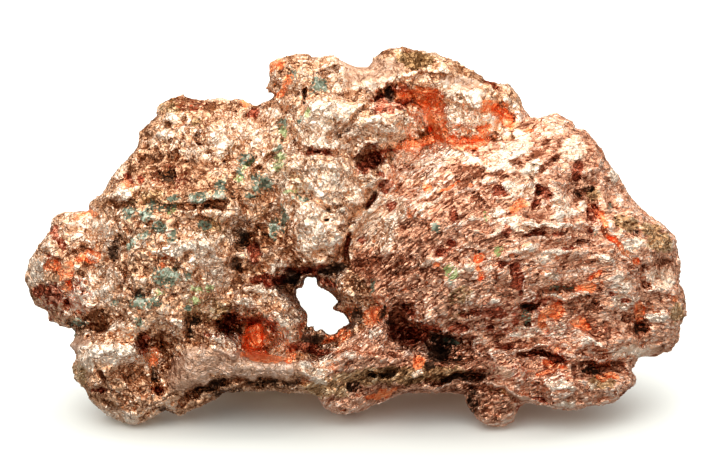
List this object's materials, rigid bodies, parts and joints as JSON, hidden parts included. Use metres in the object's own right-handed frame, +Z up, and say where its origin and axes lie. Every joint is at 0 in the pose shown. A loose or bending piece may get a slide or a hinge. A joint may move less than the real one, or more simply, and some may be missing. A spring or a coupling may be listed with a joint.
{
  "type": "native copper nugget",
  "caption": "Irregular lump of bare natural copper with hackly lobes, ember-red hollows and a small window through it, for display.",
  "frame": {"origin": "on the surface the nugget rests on, under the centre of its bounding box", "axes": "+X along the nugget's length, to the right as its display face is seen; +Y away from the viewer, through the nugget from its display face to its back; +Z up"},
  "size_m": [0.08, 0.0326, 0.0431],
  "materials": {
    "copper": "bare native copper: hackly, crystalline and satin-bright, pinkish on its high faces, brown to ember red in its hollows, with green copper-carbonate stain"
  },
  "bodies": {
    "root": {"nugget": "copper"}
  },
  "joints": []
}
